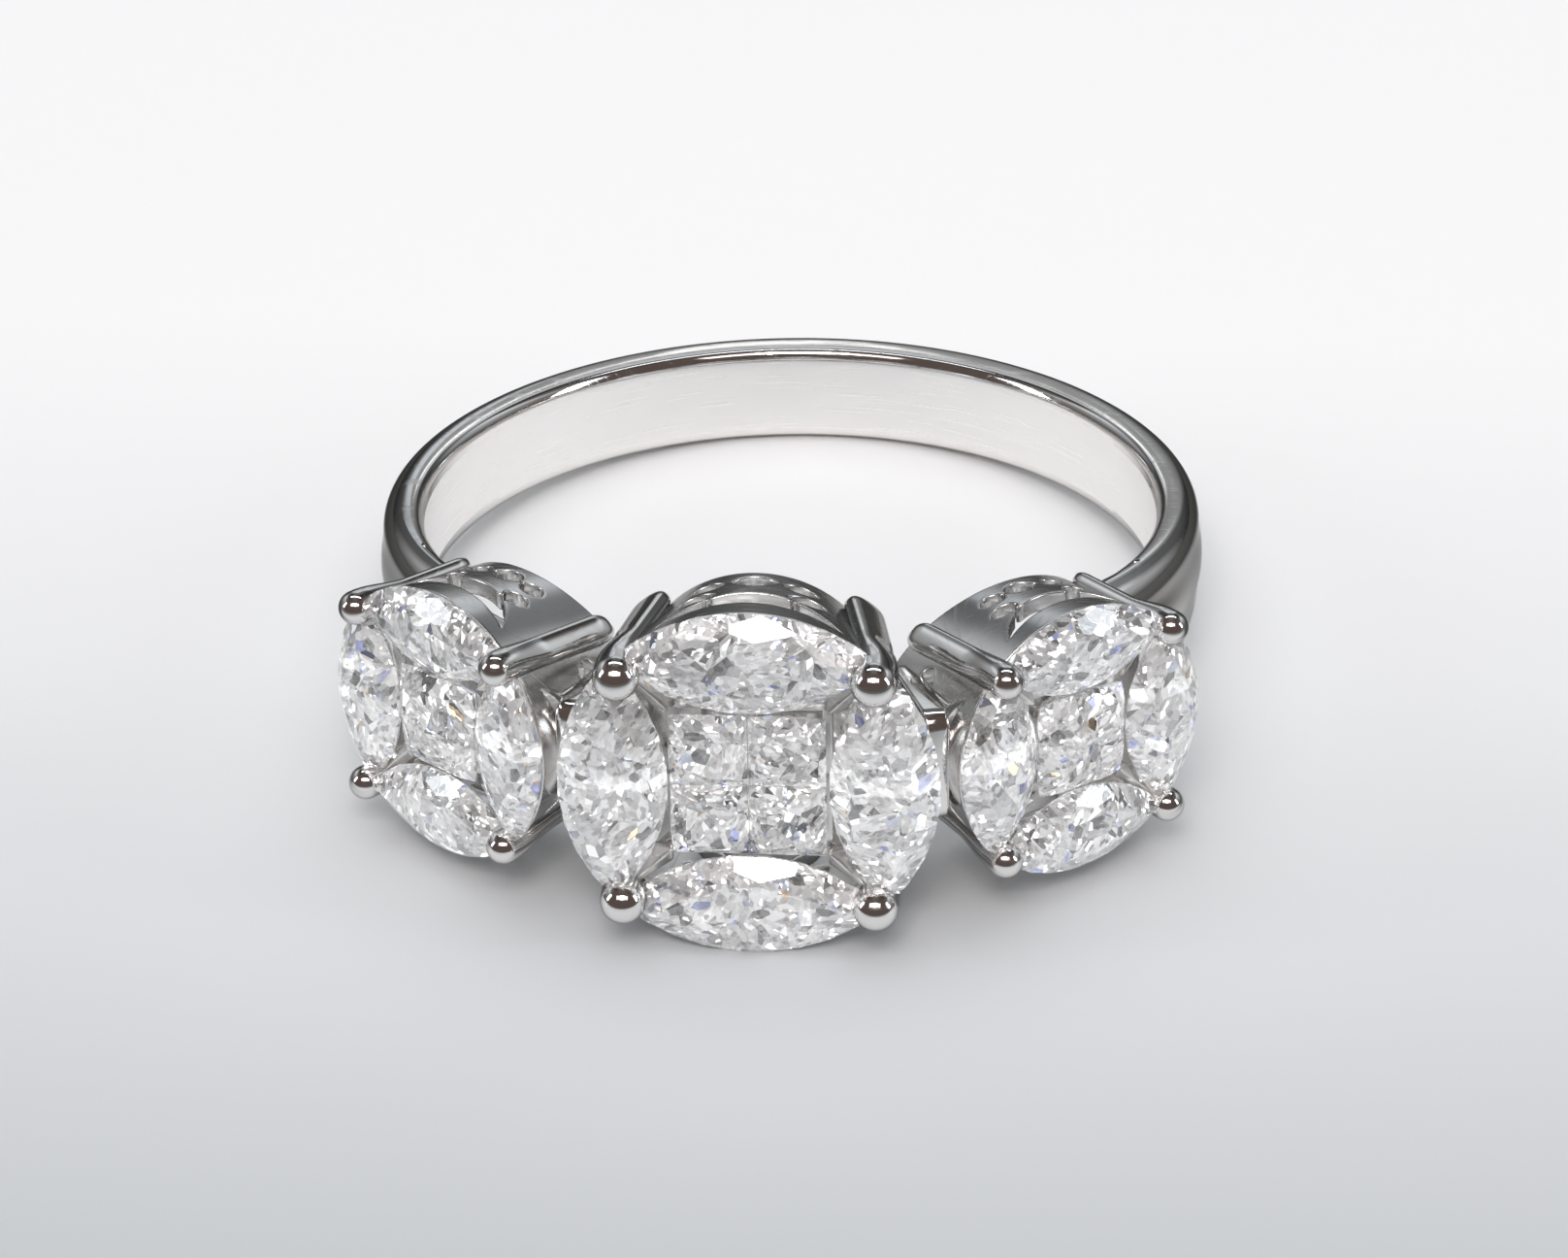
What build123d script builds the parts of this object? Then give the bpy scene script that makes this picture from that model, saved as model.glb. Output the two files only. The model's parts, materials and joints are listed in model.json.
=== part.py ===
from build123d import *
from dataclasses import dataclass
from math import asin, atan, atan2, cos, degrees, hypot, radians, sin, sqrt
import os

# A three-stone illusion-set ring in white gold, lying on its side as it rests on a table.
# Millimetres. +Z is up and the stones face -Y. The band leans on its back edge and the centre
# head on the lowest stone, so the finger's axis leans back from +Z by the angle "lean".
# The origin is below the middle of the ring, on the table.

os.makedirs("parts", exist_ok=True)

# The finger hole, and the band round its back
finger_radius = 8.65
band_reach = 127.0              # degrees each way from the back, into the outer heads
band_sections = 9
band_back_width = 2.4
band_shoulder_width = 3.6
band_back_thickness = 1.25
band_shoulder_thickness = 0.95
band_root = 0.5                 # how far a section starts inside the finger hole, before it is bored
band_corner = 0.45
band_dome = 0.1
bridge_thickness = 0.7          # the band goes on under the heads as a thin rail

# Heights in a head, measured from the finger's axis, and depths measured down from the girdle
girdle_height = 11.6
collar_inset = 0.05             # the stones stand out past the collar by this much
collar_depth = 0.9              # the plain top rim that the outer stones bear on
wall = 0.4
rail_top_depth = 0.5
rail_bottom_depth = 0.9
rail_width = 0.22
tie_inset = 0.3                 # the rails' outer ends, inside the stones' circle
mouth_lip = 0.2                 # the collar's step inward from the hollow below it
basket_foot = 7.9               # baskets and prongs run past the finger hole, before it is bored
strap_inset = 0.1               # from the stones' circle to the middle of a prong's strap
strap_corner = 0.3              # of its thickness
strap_end = 0.8                 # of its section, in the bead
through = 0.3                   # how far a cut runs past the wall

# Stones
stone_gap = 0.03
seat_gap = 0.03
girdle_thickness = 0.06
princess_crown = 0.7            # of a marquise's crown
tip_angle = 44.0                # half the arc of the outer circle that one marquise fills
arc_facets = 9                  # girdle facets along each arc of a marquise

# The webs that join neighbouring heads
web_turn = 20.9
web_thickness = 0.56
web_half_width = 1.35
web_top = 11.45
web_corner = 0.4


@dataclass
class Head:
    """One stone head: a pierced basket with four prongs, a square block of princess stones
    and a marquise on each side of the block."""

    name: str
    turn: float                 # degrees round the finger from the front, towards +X
    stone_radius: float         # circle that the marquises fill
    base_along: float           # half width of the basket at the finger, round the band
    base_across: float          # and along the finger
    block: float                # half width of the square block
    rows: int                   # princess stones along a side of the block
    crown: float                # height of the tables above the girdle
    prong_foot: tuple           # centre of a prong where it meets the finger hole
    prong_width: float
    prong_thickness: float
    bead_radius: float
    bead_centre: float          # from the head's axis
    bead_height: float          # above the girdle
    sides: tuple                # how the wall is pierced at +X, +Y, -X and -Y of the head


outer = dict(stone_radius=3.23, base_along=3.05, base_across=2.7, block=1.16, rows=1, crown=0.32,
             prong_foot=(2.25, 1.9), prong_width=0.76, prong_thickness=0.44,
             bead_radius=0.39, bead_centre=3.15, bead_height=0.26)
heads = [
    Head("centre", 0.0, 4.2, 3.05, 3.7, 1.70, 2, 0.36, (2.2, 2.75), 1.0, 0.52, 0.51, 3.93, 0.38,
         ("joined", "open", "joined", "open")),
    Head("left", -38.1, **outer, sides=("joined", "open", "shoulder", "open")),
    Head("right", 38.1, **outer, sides=("shoulder", "open", "joined", "open")),
]
centre_head = heads[0]


@dataclass
class Opening:
    """A pointed oval cut through one side of the centre basket. The outer heads have the same
    ones, narrower by the ratio of their radii."""

    place: float                # along the side, from its middle
    depth: float                # below the girdle
    width: float
    height: float


pierced = {
    "open": [Opening(0.0, 2.35, 1.0, 0.6), Opening(-1.02, 2.3, 0.76, 0.46), Opening(1.02, 2.3, 0.76, 0.46),
             Opening(-1.2, 1.66, 0.84, 0.46), Opening(1.2, 1.66, 0.84, 0.46)],
    "joined": [Opening(-1.75, 2.1, 0.7, 0.5), Opening(1.75, 2.1, 0.7, 0.5)],
    "shoulder": [],
}
arch_width = 4.0                # the long gap between collar and lattice, a crescent
arch_end_depth = 0.55
arch_upper_depth = 0.9
arch_lower_depth = 1.54

# How the ring lies: the table touches the lowest stone of the centre head and the rounded
# edge at the back of the band
back_corner_radius = finger_radius + band_back_thickness - band_corner
back_corner_drop = band_back_width / 2 - band_corner
front_drop = centre_head.stone_radius * cos(radians(tip_angle / arc_facets))
run = girdle_height + back_corner_radius
rise = front_drop - back_corner_drop
lean = degrees(atan(rise / run) - asin(band_corner / hypot(run, rise)))
front_reach = girdle_height - girdle_thickness / 2
axis_height = front_drop * cos(radians(lean)) - front_reach * sin(radians(lean))
axis_setback = 1.465            # from the middle of the ring's length to the finger's axis

ring = Plane(origin=(0, axis_setback, axis_height), x_dir=(1, 0, 0),
             z_dir=(0, sin(radians(lean)), cos(radians(lean))))


def upright(turn):
    """A plane on the finger's axis, turned round it: x round the band, y along the finger and
    z out through the head at that angle."""
    return Plane(ring.location * Rot(0, 0, turn) * Rot(90, 0, 0))


def band_section(angle):
    """Half-round section of the band at this angle from the back. Towards the heads it gets
    thinner, by the square of the angle, and wider, by its cube."""
    share = abs(angle) / band_reach
    half = (band_back_width + (band_shoulder_width - band_back_width) * share ** 3) / 2
    top = finger_radius + band_back_thickness + (band_shoulder_thickness - band_back_thickness) * share ** 2
    edge = top - band_dome
    root = finger_radius - band_root
    bend = band_corner * (1 - sqrt(0.5))
    with BuildSketch(upright(90 - angle)) as section:
        with BuildLine():
            Polyline((edge - band_corner, half), (root, half), (root, -half), (edge - band_corner, -half))
            ThreePointArc((edge - band_corner, -half), (edge - bend, bend - half),
                          (edge, band_corner - half))
            ThreePointArc((edge, band_corner - half), (top, 0), (edge, half - band_corner))
            ThreePointArc((edge, half - band_corner), (edge - bend, half - bend),
                          (edge - band_corner, half))
        make_face()
    return section.sketch


def basket(head, inset, top, mode):
    """The tapered body of a basket from a height down past the finger hole. It is round at the
    girdle and oval at the finger, and inset makes the hollow inside its wall."""
    place = upright(head.turn)
    taper_run = girdle_height - finger_radius
    collar_radius = head.stone_radius - collar_inset
    along_taper = (collar_radius - head.base_along) / taper_run
    across_taper = (collar_radius - head.base_across) / taper_run
    outlines = []
    for height in (top, basket_foot):
        with BuildSketch(place.offset(height)) as outline:
            Ellipse(collar_radius - inset - along_taper * (girdle_height - height),
                    collar_radius - inset - across_taper * (girdle_height - height))
        outlines.append(outline.sketch)
    loft(outlines, mode=mode)


def cut_opening(head, side, opening):
    """One pointed oval, cut out through the wall on one side of a basket."""
    scale = head.stone_radius / centre_head.stone_radius
    place = Plane(upright(head.turn).offset(girdle_height - opening.depth).location * Rot(0, 0, 90 * side)
                  * Rot(0, 90, 0) * Pos(0, opening.place * scale, 0))
    half = opening.width * scale / 2
    with BuildSketch(place) as oval:
        with BuildLine():
            ThreePointArc((0, -half), (opening.height / 2, 0), (0, half))
            ThreePointArc((0, half), (-opening.height / 2, 0), (0, -half))
        make_face()
    extrude(oval.sketch, amount=head.stone_radius + through, mode=Mode.SUBTRACT)


def cut_arch(head, side):
    """The long crescent gap between the collar and the lattice below it."""
    scale = head.stone_radius / centre_head.stone_radius
    place = Plane(upright(head.turn).offset(girdle_height).location * Rot(0, 0, 90 * side) * Rot(0, 90, 0))
    half = arch_width * scale / 2
    with BuildSketch(place) as crescent:
        with BuildLine():
            ThreePointArc((arch_end_depth, -half), (arch_lower_depth, 0), (arch_end_depth, half))
            ThreePointArc((arch_end_depth, half), (arch_upper_depth, 0), (arch_end_depth, -half))
        make_face()
    extrude(crescent.sketch, amount=head.stone_radius + through, mode=Mode.SUBTRACT)


def prong(head, across, up):
    """A flat strap up the outside of the basket, with a rounded bead bent over the stones."""
    place = upright(head.turn)
    foot_x, foot_y = head.prong_foot
    strap_centre = (head.stone_radius - strap_inset) / sqrt(2)
    sections = [
        (basket_foot, foot_x, foot_y, head.prong_width, head.prong_thickness),
        (girdle_height, strap_centre, strap_centre, head.prong_width, head.prong_thickness),
        (girdle_height + head.bead_height * strap_end, strap_centre, strap_centre,
         head.prong_width * strap_end, head.prong_thickness * strap_end),
    ]
    outlines = []
    for height, x, y, width, thickness in sections:
        facing = degrees(atan(y / x)) * across * up + (0 if across > 0 else 180)
        with BuildSketch(place.offset(height)) as outline:
            with Locations(Location((across * x, up * y, 0), (0, 0, facing))):
                RectangleRounded(thickness, width, thickness * strap_corner)
        outlines.append(outline.sketch)
    loft(outlines, ruled=True)
    bead = head.bead_centre / sqrt(2)
    with Locations(place.offset(girdle_height + head.bead_height) * Pos(across * bead, up * bead, 0)):
        Sphere(head.bead_radius)


def rail(head, start, end):
    """One thin bar of the hidden grid that carries the inner stones."""
    (x0, y0), (x1, y1) = start, end
    middle = Location(((x0 + x1) / 2, (y0 + y1) / 2, 0), (0, 0, degrees(atan2(y1 - y0, x1 - x0))))
    with BuildSketch(upright(head.turn).offset(girdle_height - rail_bottom_depth)) as bar:
        with Locations(middle):
            Rectangle(hypot(x1 - x0, y1 - y0) + rail_width, rail_width)
    extrude(bar.sketch, amount=rail_bottom_depth - rail_top_depth)


def grid(head):
    """Rails under the block's edges and seams, tied to the collar below the prongs."""
    edge = head.block
    tie = (head.stone_radius - tie_inset) / sqrt(2)
    for sign in (-1, 1):
        rail(head, (-edge, sign * edge), (edge, sign * edge))
        rail(head, (sign * edge, -edge), (sign * edge, edge))
        rail(head, (sign * edge, edge), (sign * tie, tie))
        rail(head, (sign * edge, -edge), (sign * tie, -tie))
    for seam in range(1, head.rows):
        place = edge * (2 * seam / head.rows - 1)
        rail(head, (-edge, place), (edge, place))
        rail(head, (place, -edge), (place, edge))


def facet(azimuth, slope, reach, level, down=False, axis_y=0.0):
    """A facet's plane. Its normal points out along the azimuth and leans by the slope from the
    stone's axis, and it passes the point at this reach along the azimuth and this level."""
    a, s = radians(azimuth), radians(slope)
    axial = -cos(s) if down else cos(s)
    return Plane(origin=(reach * cos(a), axis_y + reach * sin(a), level),
                 z_dir=(sin(s) * cos(a), sin(s) * sin(a), axial))


def cut_princess(half, crown):
    """A square stone, cut plane by plane: a table, crown facets along the sides and corners, and
    three tiers of chevrons down to the point."""
    half_girdle = girdle_thickness / 2
    depth = 1.16 * half
    with BuildPart() as stone:
        with BuildSketch(Plane.XY.offset(-half_girdle - depth)):
            Rectangle(2 * half, 2 * half)
        extrude(amount=depth + 2 * half_girdle + crown)
        for side in (0, 90, 180, 270):
            cuts = [
                facet(side, 40, half, half_girdle),
                facet(side + 45, 30, half * sqrt(2), half_girdle),
                facet(side, 61, half, -half_girdle, down=True),
            ]
            for swing in (-1, 1):
                cuts.append(facet(side + 17 * swing, 27, 0.8 * half, 0.8 * crown + half_girdle))
                cuts.append(facet(side + 9 * swing, 53, 0.8 * half, -0.35 * depth, down=True))
                cuts.append(facet(side + 21 * swing, 41, 0.5 * half, -0.67 * depth, down=True))
            for cut in cuts:
                split(bisect_by=cut, keep=Keep.BOTTOM)
    return stone.part


def cut_marquise(head, room=0.0):
    """A marquise that fills the space between the block and the outer circle, with its long
    axis along x and its outer arc towards +y. With room it is a plain-cut blank, grown by that
    much, which makes the seat in the metal."""
    half_girdle = girdle_thickness / 2 + room
    chord = head.stone_radius * cos(radians(tip_angle))
    half_length = head.stone_radius * sin(radians(tip_angle))
    inner_rise = chord - head.block - 2 * stone_gap
    arcs = [(90, head.stone_radius, tip_angle)]
    inner_radius = (half_length ** 2 + inner_rise ** 2) / (2 * inner_rise)
    arcs.append((-90, inner_radius, degrees(asin(half_length / inner_radius))))
    depth = 1.2 * inner_rise + 2 * room
    crown = head.crown + room
    points = []
    cuts = []
    for facing, radius, spread in arcs:
        back_to_centre = radius * cos(radians(spread))
        step = 2 * spread / arc_facets

        def reach(swing, size=radius + room):
            return size - back_to_centre * cos(radians(swing))

        # The two arcs of a stone share its tips, and those of a blank end a little apart
        middle = chord - back_to_centre * (1 if facing > 0 else -1)
        for n in range(arc_facets + (1 if room else 0)):
            a = radians(facing + spread - n * step)
            points.append(((radius + room) * cos(a), middle + (radius + room) * sin(a)))
        flat = (radius + room) * cos(radians(step / 2))
        for n in range(arc_facets):
            swing = spread - (n + 0.5) * step
            cuts.append((facing + swing, 42, reach(swing, flat), half_girdle, False))
            cuts.append((facing + swing, 47, reach(swing, flat), -half_girdle, True))
        if room:
            continue
        for n in range(1, arc_facets, 2):
            swing = spread - n * step
            cuts.append((facing + swing, 34, reach(swing), half_girdle, False))
            cuts.append((facing + swing, 41, reach(swing), -half_girdle, True))
        for n in range(2, arc_facets - 1, 2):
            swing = spread - n * step
            cuts.append((facing + swing, 22, reach(swing) * 0.62, half_girdle + 0.86 * crown, False))
    if not room:
        for tip in (0, 180):
            cuts.append((tip, 24, half_length, half_girdle, False))
            cuts.append((tip, 21, half_length, -half_girdle, True))
    with BuildPart() as stone:
        with BuildSketch(Plane.XY.offset(-half_girdle - depth)):
            with BuildLine():
                Polyline(*points, close=True)
            make_face()
        extrude(amount=depth + 2 * half_girdle + crown)
        for azimuth, slope, distance, level, down in cuts:
            split(bisect_by=facet(azimuth, slope, distance, level, down, chord), keep=Keep.BOTTOM)
    return stone.part


def stone_place(head, turn=0.0, x=0.0, y=0.0):
    """Where a stone cut about its own axis goes in a head."""
    return Plane(upright(head.turn).offset(girdle_height).location * Rot(0, 0, turn) * Pos(x, y, 0))


seats = [stone_place(head, 90 * side) * cut_marquise(head, room=seat_gap)
         for head in heads for side in range(4)]

with BuildPart() as white_gold:
    # The band, thicker inward than it ends up, so that boring the finger hole leaves a true bore
    for n in range(band_sections):
        add(band_section(band_reach * (2 * n / (band_sections - 1) - 1)))
    loft()
    for head in heads:
        basket(head, 0, girdle_height, Mode.ADD)
    for head in heads:
        basket(head, wall, girdle_height - collar_depth, Mode.SUBTRACT)
        with BuildSketch(upright(head.turn).offset(girdle_height - collar_depth - through)):
            Circle(head.stone_radius - wall - mouth_lip)
        extrude(amount=collar_depth + 2 * through, mode=Mode.SUBTRACT)
        for side, style in enumerate(head.sides):
            cut_arch(head, side)
            for opening in pierced[style]:
                cut_opening(head, side, opening)
    # The bridge, webs, grids and prongs, soldered to the baskets
    with Locations(ring):
        Cylinder(finger_radius + bridge_thickness, band_back_width)
    for turn in (-web_turn, web_turn):
        with BuildSketch(Plane(upright(turn).location * Rot(0, 90, 0))):
            with Locations((-(web_top + finger_radius) / 2, 0)):
                RectangleRounded(web_top - finger_radius, 2 * web_half_width, web_corner)
        extrude(amount=web_thickness / 2, both=True)
    for head in heads:
        grid(head)
        for across in (-1, 1):
            for up in (-1, 1):
                prong(head, across, up)
    add(seats, mode=Mode.SUBTRACT)
    with Locations(ring):
        Cylinder(finger_radius, 20, mode=Mode.SUBTRACT)

white_gold.part.label = "white_gold_ring"
export_step(white_gold.part, "parts/white_gold_ring.step")

for head in heads:
    marquise = cut_marquise(head)
    for side in range(4):
        with BuildPart() as stone:
            add(stone_place(head, 90 * side) * marquise)
        stone.part.label = f"{head.name}_marquise_{side + 1}"
        export_step(stone.part, f"parts/{stone.part.label}.step")
    half = (head.block - stone_gap * (head.rows - 1) / 2) / head.rows
    princess = cut_princess(half, head.crown * princess_crown)
    places = [(2 * n - head.rows + 1) * (half + stone_gap / 2) for n in range(head.rows)]
    for n, (x, y) in enumerate((x, y) for x in places for y in places):
        with BuildPart() as stone:
            add(stone_place(head, 0, x, y) * princess)
        stone.part.label = f"{head.name}_princess_{n + 1}"
        export_step(stone.part, f"parts/{stone.part.label}.step")
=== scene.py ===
import json

import bmesh
import bpy
import numpy as np
from mathutils import Matrix


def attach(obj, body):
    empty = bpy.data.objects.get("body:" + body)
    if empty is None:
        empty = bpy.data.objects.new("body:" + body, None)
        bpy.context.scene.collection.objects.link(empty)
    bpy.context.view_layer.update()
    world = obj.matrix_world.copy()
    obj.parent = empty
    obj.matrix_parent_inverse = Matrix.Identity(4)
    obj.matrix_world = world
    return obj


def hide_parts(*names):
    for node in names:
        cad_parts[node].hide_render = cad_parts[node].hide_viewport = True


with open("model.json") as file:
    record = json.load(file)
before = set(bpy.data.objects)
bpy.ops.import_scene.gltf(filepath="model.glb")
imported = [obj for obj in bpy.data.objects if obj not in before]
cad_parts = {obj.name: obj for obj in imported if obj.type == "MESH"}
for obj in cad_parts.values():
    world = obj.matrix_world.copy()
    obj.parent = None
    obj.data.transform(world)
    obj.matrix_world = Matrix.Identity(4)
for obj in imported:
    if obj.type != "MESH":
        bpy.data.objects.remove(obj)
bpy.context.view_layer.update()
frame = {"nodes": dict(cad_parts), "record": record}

# An illusion set ring: white gold and clear stones, lying on its side. Lengths are in metres.
# The ring's own frame has its middle on the finger's axis: x to the right, front out through the
# centre head, and along up the finger's axis.

# The band
# Polished white gold, forged half round and filed thinner and wider towards the heads, then bored
# and satin finished inside. Its ends are soldered to the walls of the outer baskets.

mm = 0.001
finger_hole = next(m for m in frame["record"]["mounts"] if m["name"] == "finger_hole")
ring_middle = np.array(finger_hole["pos_m"])
ring_axis = np.array(finger_hole["axis"]) / np.linalg.norm(finger_hole["axis"])
ring_right = np.array([1.0, 0.0, 0.0])
ring_front = np.cross(ring_right, ring_axis)
finger_radius = finger_hole["dims"]["r_mm"] * mm

girdle_height = 11.6 * mm           # of the stones, from the finger's axis
collar_inset = 0.05 * mm
wall = 0.4 * mm
band_reach = np.radians(127.0)      # where the widths at the shoulder hold, from the back
band_back_width, band_shoulder_width = 2.4 * mm, 3.6 * mm
band_back_thickness, band_shoulder_thickness = 1.25 * mm, 0.95 * mm
band_corner_back, band_corner_shoulder = 0.45 * mm, 0.72 * mm
band_dome = 0.1 * mm
bore_edge_back, bore_edge_shoulder = 0.18 * mm, 0.30 * mm
bore_edge_depth = 1.9                # its depth into the bore, as a multiple of its width
bore_edge_points, corner_steps, crown_points, bore_points = 9, 12, 9, 10
bore_margin = 0.004 * mm            # what lies within it of the bore is satin finished
band_rows = 401
halvings = 40


class Head:
    """One stone head. Lengths are along the band, across it and out from the finger's axis."""

    def __init__(self, name, turn, stones, foot_along, foot_across, block, rows, prong, sides):
        self.name = name
        self.turn = np.radians(turn)
        self.stones = stones * mm
        self.foot_along = foot_along * mm
        self.foot_across = foot_across * mm
        self.block = block * mm
        self.rows = rows
        self.prong = {key: np.array(value) * mm for key, value in prong.items()}
        self.sides = sides


large_prong = dict(foot=(2.2, 2.75), width=1.0, thickness=0.52, bead=0.51, reach=3.93, rise=0.38)
small_prong = dict(foot=(2.25, 1.9), width=0.70, thickness=0.44, bead=0.39, reach=3.15, rise=0.26)
heads = [
    Head("centre", 0, 4.2, 3.05, 3.7, 1.70, 2, large_prong, ("joined", "open", "joined", "open")),
    Head("left", -38.1, 3.23, 3.05, 2.7, 1.16, 1, small_prong, ("joined", "open", "shoulder", "open")),
    Head("right", 38.1, 3.23, 3.05, 2.7, 1.16, 1, small_prong, ("shoulder", "open", "joined", "open")),
]
centre_head, _left_head, right_head = heads


def in_row(x, front, along):
    """Points of the ring's frame in the row's frame: the middle plus a share of each axis."""
    x, front, along = np.broadcast_arrays(x, front, along)
    return (ring_middle + x[..., None] * ring_right + front[..., None] * ring_front
            + along[..., None] * ring_axis)


def in_head(head, x, across, height):
    """Points of a head in the row's frame. The head is turned about the finger's axis, so its x
    and height mix into the ring's x and front as in a plane rotation."""
    sine, cosine = np.sin(head.turn), np.cos(head.turn)
    return in_row(x * cosine + height * sine, height * cosine - x * sine, across)


def semi_axes(head, height, inset):
    """Half lengths of a basket's oval at a height: they go in a straight line from the collar at
    the girdle to the foot at the finger hole, less the inset into the wall."""
    drop = (girdle_height - height) / (girdle_height - finger_radius)
    collar = head.stones - collar_inset
    return (collar + (head.foot_along - collar) * drop - inset,
            collar + (head.foot_across - collar) * drop - inset)


def grid_faces(rows, columns, close_columns=False):
    """Four-cornered faces between neighbours on a grid of points stored row by row."""
    i = np.arange(rows - 1)[:, None]
    j = np.arange(columns if close_columns else columns - 1)[None, :]
    beside = (j + 1) % columns
    corners = [i * columns + j, i * columns + beside, (i + 1) * columns + beside, (i + 1) * columns + j]
    return np.stack(np.broadcast_arrays(*corners), -1).reshape(-1, 4)


def tube_faces(rows, columns, capped=(0, -1)):
    """Faces of a tube, stored as one loop of points per row, with a face over each capped row."""
    starts = [row % rows * columns for row in capped]
    return list(grid_faces(rows, columns, close_columns=True)) + [range(s, s + columns) for s in starts]


def make_mesh(name, parts, smooth=True):
    """A mesh from (points, faces) parts, welded, with its normals turned outwards."""
    work = bmesh.new()
    for points, faces in parts:
        part = bpy.data.meshes.new(name)
        part.from_pydata(np.asarray(points).reshape(-1, 3).tolist(), [],
                         [[int(corner) for corner in face] for face in faces])
        work.from_mesh(part)
        bpy.data.meshes.remove(part)
    bmesh.ops.remove_doubles(work, verts=work.verts, dist=2e-7)
    bmesh.ops.recalc_face_normals(work, faces=work.faces)
    mesh = bpy.data.meshes.new(name)
    work.to_mesh(mesh)
    work.free()
    mesh.polygons.foreach_set("use_smooth", np.full(len(mesh.polygons), smooth))
    return mesh


def gold_piece(name, parts, *materials):
    """A piece that stands for part of the soldered ring."""
    piece = bpy.data.objects.new(name, make_mesh(name, parts))
    bpy.context.scene.collection.objects.link(piece)
    for material in materials:
        piece.data.materials.append(material)
    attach(piece, "root")
    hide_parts("white_gold_ring")
    return piece


def arc(start, end, steps):
    """Cosine and sine of evenly spaced angles between two, given in degrees."""
    angle = np.radians(np.linspace(start, end, steps))
    return np.cos(angle), np.sin(angle)


def band_section(angle):
    """Radius from the finger's axis and place along it, for the loop of points round the band's
    section at each angle from the back: quarter ellipses at the bore, flat sides, quarter arcs, a
    crown that rises over the middle as a squared cosine, and the straight bore."""
    share = np.abs(angle)[..., None] / band_reach
    half = (band_back_width + (band_shoulder_width - band_back_width) * share ** 3) / 2
    edge = (finger_radius + band_back_thickness - band_dome
            + (band_shoulder_thickness - band_back_thickness) * share ** 2)
    bore_edge = bore_edge_back + (bore_edge_shoulder - bore_edge_back) * share ** 2
    deep = bore_edge * bore_edge_depth
    corner = band_corner_back + (band_corner_shoulder - band_corner_back) * share ** 2
    cosine, sine = arc(180, 90, bore_edge_points)
    upper = [(finger_radius + bore_edge * (1 + cosine) + 0 * half, half - deep * (1 - sine))]
    cosine, sine = arc(90, 0, corner_steps)
    upper.append((edge - corner * (1 - cosine), half - corner * (1 - sine)))
    crown = np.linspace(1, 0, crown_points)[1:]
    upper.append((edge + band_dome * np.cos(crown * np.pi / 2) ** 2, (half - corner) * crown))
    radius, along = (np.concatenate(part, -1) for part in zip(*upper))
    bore = np.linspace(-1, 1, bore_points)[1:-1]
    return (np.concatenate([radius, radius[..., -2::-1], finger_radius + 0 * half + 0 * bore], -1),
            np.concatenate([along, -along[..., -2::-1], (half - deep) * bore], -1))


def wall_angle(head, radius, along, inset):
    """Angle from a head's axis, round the finger, where a point of this radius and place along
    the finger meets the basket's wall. Found by halving, since the oval grows with the angle."""
    low, high = np.zeros_like(radius), np.full_like(radius, np.pi / 4)
    for _ in range(halvings):
        middle = (low + high) / 2
        half_along, half_across = semi_axes(head, radius * np.cos(middle), inset)
        outside = (radius * np.sin(middle) / half_along) ** 2 + (along / half_across) ** 2 > 1
        low, high = np.where(outside, low, middle), np.where(outside, middle, high)
    return low


def swept_round_finger(radius, along, ends, middle, rows):
    """A section carried round the finger to its ends' angles, each side of a middle angle, with
    both ends closed. Angles are from the front towards the right."""
    swing = middle + np.linspace(-1, 1, rows)[:, None] * ends
    return (in_row(radius * np.sin(swing), radius * np.cos(swing), along),
            tube_faces(rows, radius.shape[-1]))


def node(tree, kind, sockets=None, **settings):
    """A shader node with its settings, and its sockets set or linked by name or number."""
    made = tree.nodes.new(kind)
    for key, value in settings.items():
        setattr(made, key, value)
    for key, value in (sockets or {}).items():
        if isinstance(value, bpy.types.NodeSocket):
            tree.links.new(value, made.inputs[key])
        else:
            made.inputs[key].default_value = value
    return made


def maths(tree, operation, *values):
    """The result of a maths node on plain values or sockets."""
    return node(tree, "ShaderNodeMath", dict(enumerate(values)), operation=operation).outputs[0]


def spread(tree, value, start, end, low=0.0, high=1.0):
    """A value's share of the way from start to end, clamped and spread between low and high."""
    return node(tree, "ShaderNodeMapRange", {"Value": value, "From Min": start, "From Max": end,
                                             "To Min": low, "To Max": high}).outputs[0]


def noise(tree, vector, scale, detail):
    """Smooth noise, with so many features per metre and so many finer layers."""
    sockets = {"Vector": vector, "Scale": scale, "Detail": detail}
    return node(tree, "ShaderNodeTexNoise", sockets).outputs["Fac"]


def new_group(name, inputs, outputs):
    """An empty shader group with its sockets. Inputs are (name, kind, value), outputs (name, kind)."""
    group = bpy.data.node_groups.new(name, "ShaderNodeTree")
    for label, kind, value in inputs:
        socket = group.interface.new_socket(label, in_out="INPUT", socket_type=f"NodeSocket{kind}")
        if value is not None:
            socket.default_value = value
    for label, kind in outputs:
        group.interface.new_socket(label, in_out="OUTPUT", socket_type=f"NodeSocket{kind}")
    return group, group.nodes.new("NodeGroupInput"), group.nodes.new("NodeGroupOutput")


def new_material(name, **values):
    """A material with a Principled shader and its plain values, and its Object coordinates."""
    material = bpy.data.materials.new(name)
    material.use_nodes = True
    tree = material.node_tree
    shader = tree.nodes["Principled BSDF"]
    for key, value in values.items():
        shader.inputs[key.replace("_", " ")].default_value = value
    return material, tree, shader, tree.nodes.new("ShaderNodeTexCoord").outputs["Object"]


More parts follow.
